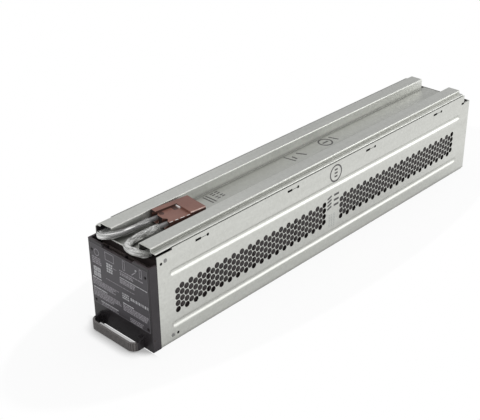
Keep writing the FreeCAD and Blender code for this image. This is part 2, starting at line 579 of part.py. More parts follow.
def make_contact(side):
    x, middle = side * POLE_X, PLUG_H / 2
    start = -BARREL_L - BARREL_BACK
    barrel = rod(BARREL_D, V(x, start, middle), V(0, 1, 0), BARREL_L)
    blade_z = SOCKET_FLOOR + FIT / 2
    blade = block(x - BLADE_W / 2, x + BLADE_W / 2, -BLADE_BACK, BLADE_L - BLADE_BACK,
                  blade_z, blade_z + BLADE_T)
    bore = rod(WIRE_D + 2 * HAIR, V(x, start - 1, middle), V(0, 1, 0), BARREL_L - 2)
    return on_plug(joined([barrel, blade]).cut(bore))


# ---------------------------------------------------------------- leads
# Each lead leaves the connector, comes forward out of the channel and turns back
# into the mouth of its own rail. The ends are worked out, the rest is its lie.
def free_lead(side):
    start = plug_point(side * POLE_X, WIRE_START_Y, PLUG_H / 2)
    gate = plug_point(side * POLE_X, -PLUG_L / 2 - GATE, PLUG_H / 2)
    mouth_x = -MOUTH_X if side < 0 else MOUTH_X - MOUTH_SHIFT
    lie = LIE_POSITIVE if side < 0 else LIE_NEGATIVE
    return [tuple(start), tuple(gate)] + [(mouth_x - side * x, y, CHANNEL_TOP + z) for x, y, z in lie]


def inner_lead(side):
    """The held stretch, from the rail's mouth to the lug on the end terminal."""
    index = 0 if side < 0 else BLOCKS - 1
    x, y, z = mouth = free_lead(side)[-1]
    lug_y = terminal_y(index) - LUG_W / 2 - 0.8
    end = (side * TERMINAL_X, lug_y, LUG_Z)
    if side < 0:
        return [mouth, (x, y + 8, z), (-TERMINAL_X, lug_y - 12, LUG_Z), end]
    lane = RAIL_IN + SHEET + WIRE_D / 2 + 1.0
    return [mouth, (x, y + 8, z), (lane, y + 34, LEAD_Z), (lane, lug_y - 45, LEAD_Z),
            (TERMINAL_X, lug_y - 12, LUG_Z), end]


def make_lug(side):
    index = 0 if side < 0 else BLOCKS - 1
    x, y = side * TERMINAL_X, terminal_y(index)
    low, high = BLOCK_TOP + STRAP_T, BLOCK_TOP + TAB_H + LUG_ROOF
    grip = block(x - LUG_T / 2, x + LUG_T / 2, y - LUG_W / 2, y + LUG_W / 2, low, high)
    slot = block(x - TAB_T / 2 - HAIR, x + TAB_T / 2 + HAIR, y - TAB_W / 2 - HAIR,
                 y + TAB_W / 2 + HAIR, low - 1, BLOCK_TOP + TAB_H + HAIR)
    end = y - LUG_W / 2 + 0.5
    barrel = rod(LUG_BARREL_D, V(x, end - LUG_BARREL_L, LUG_Z), V(0, 1, 0), LUG_BARREL_L)
    bore = rod(WIRE_D + 2 * HAIR, V(x, end - LUG_BARREL_L - 1, LUG_Z), V(0, 1, 0), LUG_BARREL_L - 0.3)
    return joined([grip, barrel]).cut([slot, bore])


# ---------------------------------------------------------------- the assembly
save("tray", make_tray())
save("top_cover", make_cover())
save("front_bezel", make_bezel())
save("front_label", make_label())
save("pull_handle", make_handle())
save("handle_screws", make_handle_screws())
save("side_rivets", make_side_rivets())
save("base_liner", block(-BLOCK_W / 2, BLOCK_W / 2, BLOCKS_Y0, BLOCKS_Y1, SHEET, FLOOR_Z))
pad_x, pad_low, pad_high = BLOCK_W / 2 - PAD_IN, FLOOR_Z + PAD_END, BLOCK_TOP - PAD_END
save("front_foam", block(-pad_x, pad_x, BLOCKS_Y0 - FRONT_PAD_T, BLOCKS_Y0, pad_low, pad_high))
save("rear_foam", block(-pad_x, pad_x, BLOCKS_Y1, BLOCKS_Y1 + REAR_PAD_T, pad_low, pad_high))

for i in range(BLOCKS):
    save("battery_%d" % (i + 1), make_battery(i))
    save("terminals_%d" % (i + 1), make_terminals(i))

strap_side = 1
for i in range(BLOCKS - 1):
    if i == BLOCKS // 2 - 1:
        save("link_strap_%d" % (i + 1), middle_strap())
    else:
        save("link_strap_%d" % (i + 1), side_strap(i, strap_side))
        strap_side = -strap_side

save("connector_housing", make_plug_housing())
for side, pole in ((-1, "positive"), (1, "negative")):
    save("contact_" + pole, make_contact(side))
    route = rounded_route("lead_" + pole, free_lead(side))
    save("lead_" + pole, tube(route, WIRE_D))
    bared = on_plug(block(-PLUG_W, PLUG_W, -PLUG_L / 2 - SLEEVE_SHORT, PLUG_L, 0, PLUG_H))
    save("sleeve_" + pole, tube(route, SLEEVE_D, SLEEVE_BORE).cut(bared))
    inner_route = rounded_route("inner_lead_" + pole, inner_lead(side))
    save("inner_lead_" + pole, tube(inner_route, WIRE_D))
    save("lug_" + pole, make_lug(side))
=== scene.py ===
"""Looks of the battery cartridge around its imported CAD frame."""
import json
import math
import random

import bpy
import numpy as np
from mathutils import Matrix, Vector, noise
from mathutils.geometry import delaunay_2d_cdt

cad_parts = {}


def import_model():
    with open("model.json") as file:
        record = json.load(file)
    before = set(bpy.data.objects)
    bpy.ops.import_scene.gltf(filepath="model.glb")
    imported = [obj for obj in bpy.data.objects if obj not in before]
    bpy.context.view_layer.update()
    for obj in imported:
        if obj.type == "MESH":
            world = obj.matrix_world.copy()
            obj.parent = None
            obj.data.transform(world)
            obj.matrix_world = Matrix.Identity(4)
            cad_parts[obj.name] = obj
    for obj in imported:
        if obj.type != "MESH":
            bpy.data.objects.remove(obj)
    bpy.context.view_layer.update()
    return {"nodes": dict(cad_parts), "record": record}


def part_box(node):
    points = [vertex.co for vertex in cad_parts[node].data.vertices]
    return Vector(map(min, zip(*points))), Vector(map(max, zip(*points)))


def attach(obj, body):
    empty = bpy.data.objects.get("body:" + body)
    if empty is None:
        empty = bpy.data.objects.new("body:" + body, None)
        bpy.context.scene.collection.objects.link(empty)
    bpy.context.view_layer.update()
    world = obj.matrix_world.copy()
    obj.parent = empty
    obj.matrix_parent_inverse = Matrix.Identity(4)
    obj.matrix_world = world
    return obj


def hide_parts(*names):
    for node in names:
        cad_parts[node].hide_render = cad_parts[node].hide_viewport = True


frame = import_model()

MM = 0.001
NODES = frame["nodes"]
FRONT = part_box("tray")[0].y          # the tray's front edge: y = 0 of the part's own layout
scene = bpy.context.scene


def at(x, y, z):
    """A point of the part's layout (mm, y from the tray's front edge) in the row frame."""
    return Vector((x * MM, FRONT + y * MM, z * MM))


def layout(point):
    """The other way round: a point of the row frame in the layout's millimetres."""
    return Vector((point.x / MM, (point.y - FRONT) / MM, point.z / MM))


# ------------------------------------------------------------------ camera
FOCAL_PX, FRAME_W, SENSOR_W = 1000.2, 480, 36
AZ, EL, ROLL = math.radians(43.85), math.radians(28.95), math.radians(-0.67)
CAMERA_PLACE = (691.6, -550.4, 630.4)
back = Vector((math.sin(AZ) * math.cos(EL), -math.cos(AZ) * math.cos(EL), math.sin(EL)))
right = Vector((math.cos(AZ), math.sin(AZ), 0))
up = back.cross(right)
cam_x = math.cos(ROLL) * right + math.sin(ROLL) * up
cam_y = -math.sin(ROLL) * right + math.cos(ROLL) * up
camera = bpy.data.objects.new("camera", bpy.data.cameras.new("camera"))
turned = Matrix((cam_x, cam_y, back)).transposed().to_4x4()
camera.matrix_world = Matrix.Translation(at(*CAMERA_PLACE)) @ turned
camera.data.sensor_width = SENSOR_W
camera.data.lens = SENSOR_W * FOCAL_PX / FRAME_W
camera.data.clip_end = 20
scene.collection.objects.link(camera)
scene.camera = camera
scene.view_settings.view_transform = "Standard"


# ------------------------------------------------------------------ materials
ZINC_DARK, ZINC_LIGHT = (0.57, 0.575, 0.54), (0.655, 0.662, 0.625)
# Painted shade: within this reach of a corner the zinc is darkened towards this colour.
CORNER_SHADE_COLOUR, CORNER_SHADE_REACH = (0.16, 0.16, 0.145, 1), 0.007
# Painted highlight: the crumpled sleeve is whiter in its front bend and clearer just before it.
BEND_FROM, BEND_TO = 0.024, 0.042        # a sleeve's front bend, along it from the rail's mouth
MOUTH_FROM, MOUTH_TO = 0.006, 0.016      # and the stretch before it, which is the clearest


class Nodes:
    """A material's node tree, with short calls to add and join nodes."""

    def __init__(self, name):
        self.material = bpy.data.materials.new(name)
        self.material.use_nodes = True
        self.tree = self.material.node_tree
        self.shader = self.tree.nodes["Principled BSDF"]
        self.coords = self.add("ShaderNodeTexCoord").outputs["Object"]

    def add(self, kind, inputs=None, **settings):
        node = self.tree.nodes.new(kind)
        for key, value in settings.items():
            setattr(node, key, value)
        for key, value in (inputs or {}).items():
            if isinstance(value, bpy.types.NodeSocket):
                self.tree.links.new(value, node.inputs[key])
            else:
                node.inputs[key].default_value = value
        return node

    def stretched(self, stretch):
        return self.add("ShaderNodeMapping", {"Vector": self.coords, "Scale": stretch}).outputs[0]

    def noise(self, scale, detail=3.0, stretch=None, rough=0.5):
        vector = self.stretched(stretch) if stretch else self.coords
        return self.add("ShaderNodeTexNoise", {"Vector": vector, "Scale": scale, "Detail": detail,
                                               "Roughness": rough}).outputs["Fac"]

    def math(self, kind, a, b):
        return self.add("ShaderNodeMath", {0: a, 1: b}, operation=kind).outputs[0]

    def ramp(self, value, stops):
        node = self.add("ShaderNodeValToRGB", {"Fac": value})
        elements = node.color_ramp.elements
        while len(elements) < len(stops):
            elements.new(0.5)
        for element, (place, colour) in zip(elements, stops):
            element.position = place
            element.color = colour if len(colour) == 4 else (*colour, 1)
        return node.outputs["Color"]

    def span(self, value, low, high, start=0.0, end=1.0):
        """value from start to end becomes low to high, and stays there beyond."""
        return self.add("ShaderNodeMapRange", {"Value": value, "From Min": start, "From Max": end,
                                               "To Min": low, "To Max": high}).outputs[0]

    def bump(self, height, strength, distance):
        node = self.add("ShaderNodeBump", {"Height": height, "Strength": strength,
                                           "Distance": distance})
        self.tree.links.new(node.outputs[0], self.shader.inputs["Normal"])

    def set(self, **values):
        for key, value in values.items():
            socket = self.shader.inputs[key.replace("_", " ")]
            if isinstance(value, bpy.types.NodeSocket):
                self.tree.links.new(value, socket)
            else:
                socket.default_value = value


def steel(name, low, high, tint=1.0, metallic=0.88):
    """Galvanised sheet: fine spangle, faint rolling streaks along it, painted shade in its
    corners.
    low and high bound its roughness, tint lightens or darkens the zinc."""
    m = Nodes(name)
    spangle = m.add("ShaderNodeTexVoronoi", {"Vector": m.coords, "Scale": 420.0,
                                             "Randomness": 1.0}).outputs["Color"]
    tone = m.add("ShaderNodeSeparateColor", {"Color": spangle}).outputs[0]
    streaks = m.noise(160, 3, (1, 0.03, 1), 0.6)
    grain = m.noise(1300, 2)
    both = m.math("ADD", m.span(tone, 0, 0.22),
                  m.math("ADD", m.span(streaks, 0, 0.48), m.span(grain, 0, 0.3)))
    dark, light = ([c * tint for c in zinc] for zinc in (ZINC_DARK, ZINC_LIGHT))
    clean = m.ramp(both, [(0.3, dark), (0.7, light)])
    # Painted shade: ambient occlusion darkens the zinc in corners and creases.
    corner = m.add("ShaderNodeAmbientOcclusion", {"Distance": CORNER_SHADE_REACH},
                   samples=8).outputs["AO"]
    corner_shaded = m.add("ShaderNodeMix", {"A": clean, "B": CORNER_SHADE_COLOUR}, data_type="RGBA")
    share = m.ramp(corner, [(0.40, (0.8,) * 3), (0.85, (0,) * 3)])
    m.tree.links.new(share, corner_shaded.inputs["Factor"])
    m.set(Base_Color=corner_shaded.outputs["Result"], Roughness=m.span(both, low, high),
          Metallic=metallic)
    m.bump(m.math("ADD", m.noise(140, 2), m.span(tone, 0, 0.3)), 0.012, 0.0003)
    return m.material


def shaded_cut_edge():
    """Bare sheared steel inside the punched holes, dull, and darkened as painted shade."""
    m = Nodes("shaded_cut_edge")
    tone = m.ramp(m.noise(900, 2), [(0.3, (0.05, 0.05, 0.05)), (0.7, (0.10, 0.10, 0.098))])
    m.set(Base_Color=tone,
          Roughness=m.span(m.noise(1500, 2), 0.5, 0.7), Metallic=0.5)
    m.bump(m.noise(2500, 2), 0.2, 0.0001)
    return m.material


def plastic(name, dark, light, grain, roughness, strength=0.25, sheen=0.5, mottle=25):
    """Moulded plastic, also film, foam and paint: mottled from dark to light, with a fine grain
    of the given strength on its skin."""
    m = Nodes(name)
    m.set(Base_Color=m.ramp(m.noise(mottle, 4, rough=0.65), [(0.3, dark), (0.7, light)]),
          Roughness=m.span(m.noise(60, 3), roughness - 0.05, roughness + 0.07),
          Specular_IOR_Level=sheen)
    m.bump(m.noise(grain, 2), strength, 0.0003)
    return m.material


def handle_plastic(name, dark, light):
    """Dark moulded plastic with fine upright grip ribs and a grained skin."""
    m = Nodes(name)
    ribs = m.add("ShaderNodeTexWave", {"Vector": m.coords, "Scale": 150.0, "Distortion": 0.0},
                 wave_type="BANDS", bands_direction="X").outputs["Fac"]
    skin = m.noise(1500, 3)
    tone = m.math("ADD", m.span(ribs, 0, 0.6), m.span(m.noise(300, 3), 0, 0.4))
    m.set(Base_Color=m.ramp(tone, [(0.25, dark), (0.75, light)]),
          Roughness=m.span(skin, 0.36, 0.52))
    m.bump(m.math("ADD", m.span(ribs, 0, 0.7), skin), 0.5, 0.0004)
    return m.material


def metal(name, dark, light, roughness):
    """Plated or bare metal with a faint mottle."""
    m = Nodes(name)
    m.set(Base_Color=m.ramp(m.noise(120, 3), [(0.3, dark), (0.7, light)]), Metallic=1.0,
          Roughness=m.span(m.noise(300, 2), roughness - 0.06, roughness + 0.08))
    m.bump(m.noise(1500, 2), 0.05, 0.0001)
    return m.material


def clear_film(name, along, around, strength, haze=0.08, bright=0.95, bend_highlight=0.0):
    """Clear soft sleeving: pale streaks where its folds catch the light, nearly clear between.
    along and around are the folds' fineness in the sleeve's own coordinates; haze is the film's
    least opacity, bright its folds' tone, bend_highlight how much whiter its front bend is
    painted as a highlight."""
    m = Nodes(name)
    lay = m.add("ShaderNodeAttribute", attribute_name="lay").outputs["Vector"]
    fine = m.add("ShaderNodeMapping", {"Vector": lay, "Scale": (around, around, along)}).outputs[0]
    folds = m.add("ShaderNodeTexNoise", {"Vector": fine, "Scale": 1.0, "Detail": 2.0,
                                         "Roughness": 0.55, "Distortion": 0.4}).outputs["Fac"]
    run = m.add("ShaderNodeSeparateXYZ", {0: lay}).outputs["Z"]
    # Painted highlight: whiter in the front bend, clearer just before it.
    bend = m.span(run, bend_highlight, 0.0, BEND_FROM, BEND_TO)
    mouth = m.span(run, -1.5 * bend_highlight, 0.0, MOUTH_FROM, MOUTH_TO)
    folds = m.math("ADD", folds, m.math("ADD", bend, mouth))
    tone = m.ramp(folds, [(0.42, (0.34, 0.34, 0.32)), (0.64, (bright, bright, bright - 0.02))])
    cover = m.ramp(folds, [(0.44, (haze,) * 3), (0.56, (haze + 0.26,) * 3), (0.66, (0.88,) * 3)])
    m.set(Base_Color=tone, Alpha=cover,
          Roughness=m.span(folds, 0.10, 0.22), Specular_IOR_Level=0.8)
    m.bump(folds, strength, 0.0012)
    return m.material


def ink(name, dark, light):
    """Screen print, a little uneven."""
    m = Nodes(name)
    m.set(Base_Color=m.ramp(m.noise(900, 2), [(0.3, dark), (0.7, light)]),
          Roughness=m.span(m.noise(200, 2), 0.45, 0.6))
    return m.material


STEEL = steel("galvanised_steel", 0.25, 0.34)
# Rougher, and darkened as painted shade, for the channel's floor.
DULL_SHADED_STEEL = steel("dull_steel_painted_shade", 0.38, 0.46, 0.78)
# Lightened as painted light, and less metallic, for the rails' inner walls.
WALL_STEEL_LIT = steel("wall_steel_painted_light", 0.30, 0.40, 1.15, 0.6)
CUT_EDGE_SHADE = shaded_cut_edge()
# Painted highlight: a pale tone for the front edge of the channel's floor.
EDGE_HIGHLIGHT = plastic("edge_painted_highlight", (0.62, 0.62, 0.59), (0.86, 0.86, 0.83), 1500, 0.35)
FRONT_PLASTIC = plastic("front_plastic", (0.022, 0.018, 0.021), (0.032, 0.027, 0.031), 1800, 0.42,
                        sheen=0.35)
# Painted light: a lighter copy of the front's plastic for its upward faces.
FRONT_TOP_LIT = plastic("front_top_painted_light", (0.044, 0.035, 0.038), (0.062, 0.050, 0.054), 1800, 0.45,
                    strength=0.1, sheen=0.3)
# Glossier, and darker as painted shade: the front's outer face below the label, and the handle's
# legs and feet.
FRONT_GLOSS_SHADE = plastic("front_gloss_painted_shade", (0.018, 0.016, 0.017), (0.027, 0.024, 0.026), 1500, 0.28,
                      strength=0.06, sheen=0.3)
LABEL = plastic("label_film", (0.039, 0.035, 0.040), (0.054, 0.049, 0.056), 700, 0.36,
                strength=0.08, sheen=0.35)
INK = ink("label_ink", (0.21, 0.198, 0.214), (0.31, 0.293, 0.314))
# Painted highlight: a pale line along the label's edge.
LABEL_EDGE_HIGHLIGHT = ink("label_edge_painted_highlight", (0.085, 0.080, 0.086), (0.135, 0.128, 0.137))
BRIGHT_INK = ink("label_ink_bright", (0.38, 0.38, 0.39), (0.52, 0.52, 0.53))
STAMP_INK = ink("stamp_ink", (0.055, 0.052, 0.052), (0.10, 0.096, 0.096))
FAINT_INK = ink("faint_ink", (0.33, 0.35, 0.34), (0.42, 0.44, 0.43))
HANDLE = handle_plastic("handle_plastic", (0.042, 0.037, 0.036), (0.125, 0.114, 0.108))
# Painted light: a lighter copy of the handle's plastic for its bar's top.
HANDLE_TOP_LIT = handle_plastic("handle_top_painted_light", (0.165, 0.155, 0.150), (0.265, 0.250, 0.243))
BLOCK = plastic("block_plastic", (0.032, 0.025, 0.025), (0.050, 0.039, 0.038), 900, 0.5)
HOUSING = plastic("housing_plastic", (0.165, 0.072, 0.054), (0.225, 0.106, 0.080), 1200, 0.42)
# Painted highlight: pale, patchy glints on the connector's rounded edges.
HOUSING_EDGE_GLINT = plastic("housing_edge_painted_highlight", (0.26, 0.13, 0.10), (0.80, 0.62, 0.56), 1200, 0.30,
                       mottle=170)
# Painted shade: a darker copy of the connector's plastic for its side and its latch pits.
HOUSING_SIDE_SHADE = plastic("housing_side_painted_shade", (0.045, 0.018, 0.013), (0.070, 0.029, 0.022), 1200, 0.5)
# Painted shade for pits and for the connector's face towards its leads.
PIT_SHADE = plastic("pit_shade", (0.012, 0.006, 0.005), (0.022, 0.011, 0.010), 900, 0.6)
FOAM = plastic("foam", (0.085, 0.068, 0.064), (0.15, 0.12, 0.115), 500, 0.9, strength=0.6)
LINER = plastic("liner_film", (0.06, 0.06, 0.06), (0.09, 0.09, 0.09), 400, 0.4)
JACKET = plastic("wire_jacket", (0.15, 0.148, 0.150), (0.22, 0.215, 0.215), 300, 0.16,
                 strength=0.1, sheen=0.7)
TIN = metal("tinned", (0.50, 0.49, 0.46), (0.66, 0.65, 0.61), 0.35)
COPPER = metal("copper", (0.72, 0.38, 0.24), (0.85, 0.50, 0.33), 0.35)
SILVER = metal("silver_plate", (0.70, 0.69, 0.66), (0.86, 0.85, 0.82), 0.25)
ZINC = metal("zinc_plate", (0.22, 0.22, 0.22), (0.32, 0.32, 0.31), 0.42)
SLEEVE_PLAIN = clear_film("clear_sleeve", 30, 380, 0.5)
# The crumpled sleeve gets a painted highlight in its front bend.
SLEEVE_CRUMPLED = clear_film("clear_sleeve_crumpled", 110, 330, 0.6, haze=0.42, bright=0.74,
                             bend_highlight=0.12)
# Painted highlight: a pale tone for glints in the connector's recess.
PALE_GLINT = plastic("latch_step_painted_highlight", (0.70, 0.66, 0.64), (0.86, 0.82, 0.80), 900, 0.35)

BY_SLOT = {"galvanised": STEEL, "front_plastic": FRONT_PLASTIC, "label_film": LABEL,
           "block_plastic": BLOCK, "tab_metal": TIN, "strap_metal": COPPER, "foam": FOAM,
           "liner_film": LINER, "housing_plastic": HOUSING, "contact_metal": SILVER,
           "wire_jacket": JACKET, "sleeve_film": SLEEVE_PLAIN, "screw_metal": ZINC}
for part in frame["record"]["subparts"]:
    node = NODES[part["node"]]
    node.data.materials.clear()
    node.data.materials.append(BY_SLOT[part["material_slot"]])
NODES["pull_handle"].data.materials[0] = HANDLE


# Lines between the faces that paint() tells apart, in the layout's millimetres.
PANEL_FACE_Y = -10.5              # only the front's outer face lies in front of this
HANDLE_FEET_Y, HANDLE_BAR_Y = -21, -22
PLUG_CORD_Y = 58                  # the connector's face towards its leads lies in front of this
LUGS_X = 45.8                     # only the cover's lugs reach further out
CHANNEL_X, RAIL_WALLS_X = 20, 22  # half widths: the channel's floor, and it with the rails' walls
CHANNEL_Z = 106                   # the channel's floor lies below this, the rails' walls above


def paint(name, material, chosen):
    """Gives a further material to the faces of a CAD node that chosen(normal, centre) picks."""
    data = NODES[name].data
    data.materials.append(material)
    for face in data.polygons:
        if chosen(face.normal, layout(NODES[name].matrix_world @ face.center)):
            face.material_index = len(data.materials) - 1


# Painted light on the front's upward faces.
paint("front_bezel", FRONT_TOP_LIT, lambda normal, p: normal.z > 0.8)
# Painted shade on the front's outer face, which is glossier too.
paint("front_bezel", FRONT_GLOSS_SHADE, lambda normal, p: normal.y < -0.9 and p.y < PANEL_FACE_Y)
# Painted shade on the connector's right side.
paint("connector_housing", HOUSING_SIDE_SHADE, lambda normal, p: normal.x > 0.8)
# Painted shade on the connector's face towards its leads.
paint("connector_housing", PIT_SHADE, lambda normal, p: normal.y < -0.8 and p.y < PLUG_CORD_Y)
# Painted highlight on the connector's rounded edges.
paint("connector_housing", HOUSING_EDGE_GLINT,
      lambda normal, p: 0.25 < normal.z < 0.93 and abs(normal.x) > 0.3)
# Painted shade: the handle's legs and feet near the front are darker.
paint("pull_handle", FRONT_GLOSS_SHADE, lambda normal, p: p.y > HANDLE_FEET_Y)
# Painted light on the top of the handle's bar.
paint("pull_handle", HANDLE_TOP_LIT, lambda normal, p: normal.z > 0.8 and p.y < HANDLE_BAR_Y)
# Painted shade: the cover's lugs, seen through the side's slots, get the holes' dark edge.
paint("top_cover", CUT_EDGE_SHADE, lambda normal, p: abs(p.x) > LUGS_X)
# Painted highlight on the front cut edge of the channel's floor.
paint("top_cover", EDGE_HIGHLIGHT,
      lambda normal, p: normal.y < -0.95 and abs(p.x) < RAIL_WALLS_X and p.z < CHANNEL_Z)
# Painted shade on the channel's floor, which is also rougher.
paint("top_cover", DULL_SHADED_STEEL,
      lambda normal, p: normal.z > 0.95 and abs(p.x) < CHANNEL_X and p.z < CHANNEL_Z)
# Painted light on the rails' inner walls.
paint("top_cover", WALL_STEEL_LIT,
      lambda normal, p: abs(normal.x) > 0.95 and abs(p.x) < RAIL_WALLS_X and p.z > CHANNEL_Z)


# ------------------------------------------------------------------ mesh helpers
WELD_WITHIN, SOFTEN_FROM = 1e-6, math.radians(40)


def mesh_object(name, vertices, faces, material, smooth=True, sharp=None):
    """A new object in the scene. sharp is the angle in degrees from which its edges stay sharp."""
    mesh = bpy.data.meshes.new(name)
    mesh.from_pydata([tuple(v) for v in vertices], [], faces)
    mesh.validate()
    if material:
        mesh.materials.append(material)
    if smooth:
        mesh.shade_smooth()
    if sharp:
        mesh.set_sharp_from_angle(angle=math.radians(sharp))
    obj = bpy.data.objects.new(name, mesh)
    scene.collection.objects.link(obj)
    return obj


def flat_normals(obj):
    """Large faces keep their own normal, so narrow bends beside them shade cleanly."""
    weighted = obj.modifiers.new("weighted_normals", "WEIGHTED_NORMAL")
    weighted.keep_sharp = True
    weighted.weight = 100


def soften(name, width, segments):
    """Rounds a CAD node's sharp edges by a fine bevel, on top of its own mesh."""
    obj = NODES[name]
    weld = obj.modifiers.new("weld", "WELD")
    weld.merge_threshold = WELD_WITHIN
    bevel = obj.modifiers.new("bevel", "BEVEL")
    bevel.width = width * MM
    bevel.segments = segments
    bevel.limit_method = "ANGLE"
    bevel.angle_limit = SOFTEN_FROM
    flat_normals(obj)
    obj.data.shade_smooth()


# ------------------------------------------------------------------ leads
PLUG_YAW = math.radians(-6.5)
PLUG_MIDDLE = (0, 75.0, 104.4)
PLUG_L, PLUG_H, PLUG_STEP_H, POLE_X = 48.0, 15.5, 2.5, 9.0
WIRE_D, SLEEVE_D, SLEEVE_BORE, SLEEVE_SHORT = 5.5, 8.0, 6.1, 8.0
WIRE_START_Y = -9.0               # the wire's end inside the contact, from the connector's middle
GATE = 1.5                        # straight stretch in front of the connector
SLEEVE_SIDES, SLEEVE_STEP = 32, 0.6
FOLD_NOISE, SEED_STEP = (0.6, 2.0, 3), 7.3   # the sleeves' folds, and how far seeds lie apart
MOUTH_X, MOUTH_SHIFT, MOUTH_Y = 32.2, 1.2, 6.0
# As in the part's source: how far in from the rail's mouth, y, height above the channel floor.
LIE_POSITIVE = [(17.6, 33.0, 6.0), (16.0, 18.0, 4.9), (16.0, 4.5, 6.8), (14.4, -4.6, 8.0),
                (9.0, -10.4, 8.0), (2.0, -8.8, 6.4), (0.0, -1.5, 4.5), (0.0, MOUTH_Y, 4.5)]
LIE_NEGATIVE = [(28.6, 32.0, 6.2), (30.6, 18.0, 4.8), (29.4, 6.0, 4.7), (26.0, -2.4, 4.8),
                (19.4, -6.0, 4.8), (11.4, -5.2, 4.6), (4.0, -3.0, 4.2), (0.0, 0.8, 3.9),
                (0.0, MOUTH_Y, 3.9)]


def plug_point(x, y, z):
    """A point of the connector's own frame, in the layout's millimetres."""
    c, s = math.cos(PLUG_YAW), math.sin(PLUG_YAW)
    return (x * c - y * s + PLUG_MIDDLE[0], x * s + y * c + PLUG_MIDDLE[1], z + PLUG_MIDDLE[2])


def lead_route(side):
    """Control points from the rail's mouth to the connector, in the row frame. side is -1 for
    the left lead, the positive one, and 1 for the right lead."""
    mouth_x = -MOUTH_X if side < 0 else MOUTH_X - MOUTH_SHIFT
    lie = LIE_POSITIVE if side < 0 else LIE_NEGATIVE
    route = [plug_point(side * POLE_X, WIRE_START_Y, PLUG_H / 2),
             plug_point(side * POLE_X, -PLUG_L / 2 - GATE, PLUG_H / 2)]
    route += [(mouth_x - side * x, y, PLUG_MIDDLE[2] + z) for x, y, z in lie]
    return [at(*p) for p in route[::-1]]


def spline_curve(name, points):
    """A curve object of one NURBS line through the given control points."""
    data = bpy.data.curves.new(name, "CURVE")
    data.dimensions = "3D"
    data.resolution_u = 12
    line = data.splines.new("NURBS")
    line.points.add(len(points) - 1)
    for point, place in zip(line.points, points):
        point.co = (*place, 1)
    line.order_u = 3
    line.use_endpoint_u = True
    obj = bpy.data.objects.new(name, data)
    scene.collection.objects.link(obj)
    return obj


def spline_points(curve):
    """Points of the curve's own line, read before it has a bevel."""
    bpy.context.view_layer.update()
    mesh = bpy.data.meshes.new_from_object(curve)
    points = [v.co.copy() for v in mesh.vertices]
    bpy.data.meshes.remove(mesh)
    return points


def finer(points, step):
    """The same line with a point at least every step."""
    out = [points[0]]
    for a, b in zip(points, points[1:]):
        n = math.ceil((b - a).length / step)
        out += [a.lerp(b, (k + 1) / n) for k in range(n)]
    return out


def rings_along(points, radius, sides, wobble=0.0, folds=(0, 0), seed=0):
    """Rings of a tube that follows points, turned as little as possible from one to the next,
    and the same points as a lay: across, across and along the tube, in metres. wobble is how far
    out of round the rings are, folds how fine that is along and around the tube."""
    along, around = folds
    rings, lay, normal, run = [], [], None, 0.0
    for i, p in enumerate(points):
        a, b = points[max(i - 1, 0)], points[min(i + 1, len(points) - 1)]
        t = (b - a).normalized()
        if normal is None:
            normal = t.orthogonal().normalized()
        normal = (normal - t * normal.dot(t)).normalized()
        side = t.cross(normal)
        if i:
            run += (p - points[i - 1]).length
        ring = []
        for k in range(sides):
            w = 2 * math.pi * k / sides
            fold = Vector((around * math.cos(w), around * math.sin(w),
                           run * along + seed * SEED_STEP))
            r = radius * (1 + wobble * noise.fractal(fold, *FOLD_NOISE)) if wobble else radius
            ring.append(p + (normal * math.cos(w) + side * math.sin(w)) * r)
            lay.append((radius * math.cos(w), radius * math.sin(w), run))
        rings.append(ring)
    return rings, lay


def sleeve_mesh(name, points, outer, inner, material, wobble, folds, seed):
    """A thin-walled tube, out of round along its length as loose sleeving is."""
    sides, n = SLEEVE_SIDES, len(points)
    out, lay = rings_along(points, outer, sides, wobble, folds, seed)
    ins, _ = rings_along(points, inner, sides)
    vertices = [v for ring in out + ins for v in ring]
    o, faces = n * sides, []
    for i in range(n - 1):
        for k in range(sides):
            j = (k + 1) % sides
            faces.append((i * sides + k, i * sides + j, (i + 1) * sides + j, (i + 1) * sides + k))
            faces.append((o + i * sides + j, o + i * sides + k, o + (i + 1) * sides + k,
                          o + (i + 1) * sides + j))
    for i, flip in ((0, False), (n - 1, True)):
        for k in range(sides):
            j = (k + 1) % sides
            face = (i * sides + j, i * sides + k, (n + i) * sides + k, (n + i) * sides + j)
            faces.append(face[::-1] if flip else face)
    obj = mesh_object(name, vertices, faces, material)
    attribute = obj.data.attributes.new("lay", "FLOAT_VECTOR", "POINT")
    attribute.data.foreach_set("vector", [c for v in lay + lay for c in v])
    return obj


def lead(side, pole, seed):
    """One free lead: its wire as a cord, and the sleeve over it up to the connector."""
    route = lead_route(side)
    wire = spline_curve("wire_" + pole, route)
    line = spline_points(wire)
    entry = at(*plug_point(side * POLE_X, -PLUG_L / 2 - SLEEVE_SHORT, PLUG_H / 2))
    axis = (entry - route[-1]).normalized()
    covered = finer([p for p in line if (p - entry).dot(axis) > 0], SLEEVE_STEP * MM)
    look = (SLEEVE_PLAIN, 0.10, (40, 1.2)) if side < 0 else (SLEEVE_CRUMPLED, 0.22, (85, 1.3))
    sleeve = sleeve_mesh("clear_sleeve_" + pole, covered, SLEEVE_D / 2 * MM, SLEEVE_BORE / 2 * MM,
                         *look, seed)
    wire.data.bevel_depth = WIRE_D / 2 * MM
    wire.data.bevel_resolution = 6
    wire.data.use_fill_caps = True
    wire.data.materials.append(JACKET)
    for piece, node, slot in ((wire, "lead_", "wire_jacket"), (sleeve, "sleeve_", "sleeve_film")):
        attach(piece, "root")
        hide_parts(node + pole)


lead(-1, "positive", 3)
lead(1, "negative", 8)


